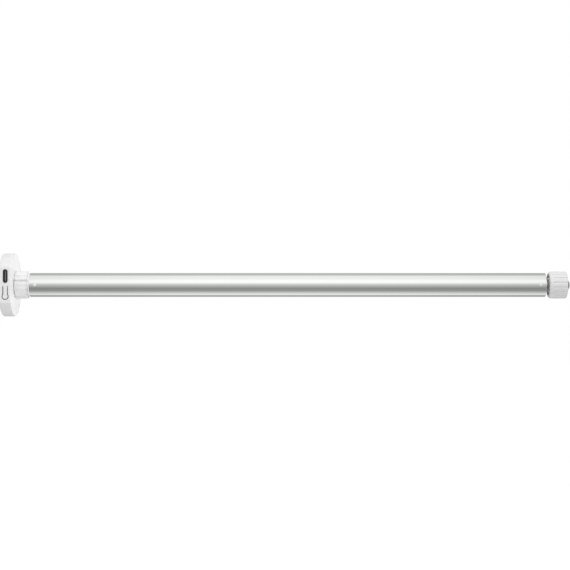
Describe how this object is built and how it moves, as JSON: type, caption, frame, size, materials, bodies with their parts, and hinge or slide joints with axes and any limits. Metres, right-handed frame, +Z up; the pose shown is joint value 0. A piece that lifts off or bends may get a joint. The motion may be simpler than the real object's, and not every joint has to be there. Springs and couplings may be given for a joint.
{
  "type": "tubular roller blind motor",
  "caption": "Slim battery-driven tubular motor with a round head carrying a charging port and a setting button, a free-running crown, a bright metal tube and a ribbed drive wheel.",
  "frame": {"origin": "mouth of the bracket socket, in the middle of the head's outer face on the motor's axis", "axes": "+X along the motor from the head to the drive wheel, +Z up with the charging port above the setting button, -Y to the front"},
  "size_m": [0.3778, 0.0382, 0.042],
  "materials": {
    "white_plastic": "satin moulded",
    "tube_metal": "polished",
    "screw_steel": "zinc plated",
    "port_steel": "drawn",
    "port_insulator": "moulded",
    "circuit_board": "solder mask",
    "module_can": "tinned",
    "black_plastic": "moulded",
    "plunger_plastic": "moulded",
    "signal_insulation": "insulated wire",
    "battery_insulation": "insulated wire",
    "motor_insulation": "insulated wire",
    "cell_wrap": "wrapped cell",
    "sleeve_film": "shrunk film",
    "link_nickel": "nickel strip",
    "magnet_ferrite": "sintered",
    "motor_steel": "machined",
    "copper": "copper",
    "gear_brass": "cut",
    "gearbox_nylon": "moulded",
    "damper_rubber": "soft"
  },
  "bodies": {
    "housing": {"head_base": "white_plastic", "head_cover": "white_plastic", "tube_plug": "white_plastic", "motor_tube": "tube_metal", "tube_rivets": "tube_metal", "head_screws": "screw_steel", "flange_screws": "screw_steel", "port_shell": "port_steel", "port_tongue": "port_insulator", "head_board": "circuit_board", "main_board": "circuit_board", "encoder_board": "circuit_board", "radio_module": "module_can", "button_switch": "black_plastic", "board_chips": "black_plastic", "front_spacer": "black_plastic", "rear_spacer": "black_plastic", "motor_endbell": "black_plastic", "signal_wires": "signal_insulation", "battery_leads": "battery_insulation", "motor_leads": "motor_insulation", "battery_cell_1": "cell_wrap", "battery_cell_2": "cell_wrap", "battery_cell_3": "cell_wrap", "battery_sleeve": "sleeve_film", "battery_links": "link_nickel", "motor_magnets": "magnet_ferrite", "motor_can": "motor_steel", "motor_brushes": "copper", "motor_bushes": "gear_brass", "output_bushes": "gear_brass", "motor_flange": "gearbox_nylon", "ring_gear": "gearbox_nylon", "bearing_housing": "gearbox_nylon", "motor_dampers": "damper_rubber"},
    "setting_button": {"setting_button": "white_plastic"},
    "switch_plunger": {"switch_plunger": "plunger_plastic"},
    "crown": {"crown_ring": "white_plastic"},
    "rotor": {"motor_shaft": "motor_steel", "rotor_core": "motor_steel", "rotor_windings": "copper", "commutator": "copper", "motor_pinion": "gear_brass", "encoder_magnet": "magnet_ferrite"},
    "stage1_carrier": {"stage1_carrier": "motor_steel"},
    "stage2_carrier": {"stage2_carrier": "motor_steel"},
    "drive": {"output_shaft": "motor_steel", "shaft_clip": "screw_steel", "drive_wheel": "white_plastic", "drive_screw": "screw_steel"},
    "stage1_planet_1": {"stage1_planet_1": "gear_brass"},
    "stage1_planet_2": {"stage1_planet_2": "gear_brass"},
    "stage1_planet_3": {"stage1_planet_3": "gear_brass"},
    "stage2_planet_1": {"stage2_planet_1": "gear_brass"},
    "stage2_planet_2": {"stage2_planet_2": "gear_brass"},
    "stage2_planet_3": {"stage2_planet_3": "gear_brass"},
    "stage3_planet_1": {"stage3_planet_1": "gear_brass"},
    "stage3_planet_2": {"stage3_planet_2": "gear_brass"},
    "stage3_planet_3": {"stage3_planet_3": "gear_brass"}
  },
  "joints": [
    {"name": "button_press", "type": "hinge", "parent": "housing", "child": "setting_button", "pos_m": [0.00402, -0.01673, -0.0008], "axis": [1, 0, 0], "range_deg": [0, 3.4], "stiffness_Nm_per_rad": 0.2},
    {"name": "plunger_press", "type": "slide", "parent": "housing", "child": "switch_plunger", "axis": [0, 1, 0], "range_m": [0, 0.0004]},
    {"name": "crown_spin", "type": "hinge", "parent": "housing", "child": "crown", "pos_m": [0.0125, 0, 0], "axis": [1, 0, 0], "continuous": true},
    {"name": "rotor_spin", "type": "hinge", "parent": "housing", "child": "rotor", "pos_m": [0.29, 0, 0], "axis": [1, 0, 0], "continuous": true},
    {"name": "stage1_carrier_spin", "type": "hinge", "parent": "housing", "child": "stage1_carrier", "pos_m": [0.3225, 0, 0], "axis": [1, 0, 0], "continuous": true},
    {"name": "stage2_carrier_spin", "type": "hinge", "parent": "housing", "child": "stage2_carrier", "pos_m": [0.33, 0, 0], "axis": [1, 0, 0], "continuous": true},
    {"name": "drive_spin", "type": "hinge", "parent": "housing", "child": "drive", "pos_m": [0.35, 0, 0], "axis": [1, 0, 0], "continuous": true},
    {"name": "stage1_planet_1_spin", "type": "hinge", "parent": "stage1_carrier", "child": "stage1_planet_1", "pos_m": [0.319, 0.00337, 0], "axis": [1, 0, 0], "continuous": true},
    {"name": "stage1_planet_2_spin", "type": "hinge", "parent": "stage1_carrier", "child": "stage1_planet_2", "pos_m": [0.319, -0.00169, 0.00292], "axis": [1, 0, 0], "continuous": true},
    {"name": "stage1_planet_3_spin", "type": "hinge", "parent": "stage1_carrier", "child": "stage1_planet_3", "pos_m": [0.319, -0.00169, -0.00292], "axis": [1, 0, 0], "continuous": true},
    {"name": "stage2_planet_1_spin", "type": "hinge", "parent": "stage2_carrier", "child": "stage2_planet_1", "pos_m": [0.3254, 0.00337, 0], "axis": [1, 0, 0], "continuous": true},
    {"name": "stage2_planet_2_spin", "type": "hinge", "parent": "stage2_carrier", "child": "stage2_planet_2", "pos_m": [0.3254, -0.00169, 0.00292], "axis": [1, 0, 0], "continuous": true},
    {"name": "stage2_planet_3_spin", "type": "hinge", "parent": "stage2_carrier", "child": "stage2_planet_3", "pos_m": [0.3254, -0.00169, -0.00292], "axis": [1, 0, 0], "continuous": true},
    {"name": "stage3_planet_1_spin", "type": "hinge", "parent": "drive", "child": "stage3_planet_1", "pos_m": [0.333, 0.00337, 0], "axis": [1, 0, 0], "continuous": true},
    {"name": "stage3_planet_2_spin", "type": "hinge", "parent": "drive", "child": "stage3_planet_2", "pos_m": [0.333, -0.00169, 0.00292], "axis": [1, 0, 0], "continuous": true},
    {"name": "stage3_planet_3_spin", "type": "hinge", "parent": "drive", "child": "stage3_planet_3", "pos_m": [0.333, -0.00169, -0.00292], "axis": [1, 0, 0], "continuous": true}
  ],
  "couplings": [
    {"joint": "plunger_press", "follows": "button_press", "m_per_rad": 0.0067},
    {"joint": "stage1_carrier_spin", "follows": "rotor_spin", "ratio": 0.16667},
    {"joint": "stage2_carrier_spin", "follows": "rotor_spin", "ratio": 0.027778},
    {"joint": "drive_spin", "follows": "rotor_spin", "ratio": 0.0046296},
    {"joint": "stage1_planet_1_spin", "follows": "rotor_spin", "ratio": -0.41667},
    {"joint": "stage1_planet_2_spin", "follows": "rotor_spin", "ratio": -0.41667},
    {"joint": "stage1_planet_3_spin", "follows": "rotor_spin", "ratio": -0.41667},
    {"joint": "stage2_planet_1_spin", "follows": "rotor_spin", "ratio": -0.069444},
    {"joint": "stage2_planet_2_spin", "follows": "rotor_spin", "ratio": -0.069444},
    {"joint": "stage2_planet_3_spin", "follows": "rotor_spin", "ratio": -0.069444},
    {"joint": "stage3_planet_1_spin", "follows": "rotor_spin", "ratio": -0.011574},
    {"joint": "stage3_planet_2_spin", "follows": "rotor_spin", "ratio": -0.011574},
    {"joint": "stage3_planet_3_spin", "follows": "rotor_spin", "ratio": -0.011574}
  ]
}
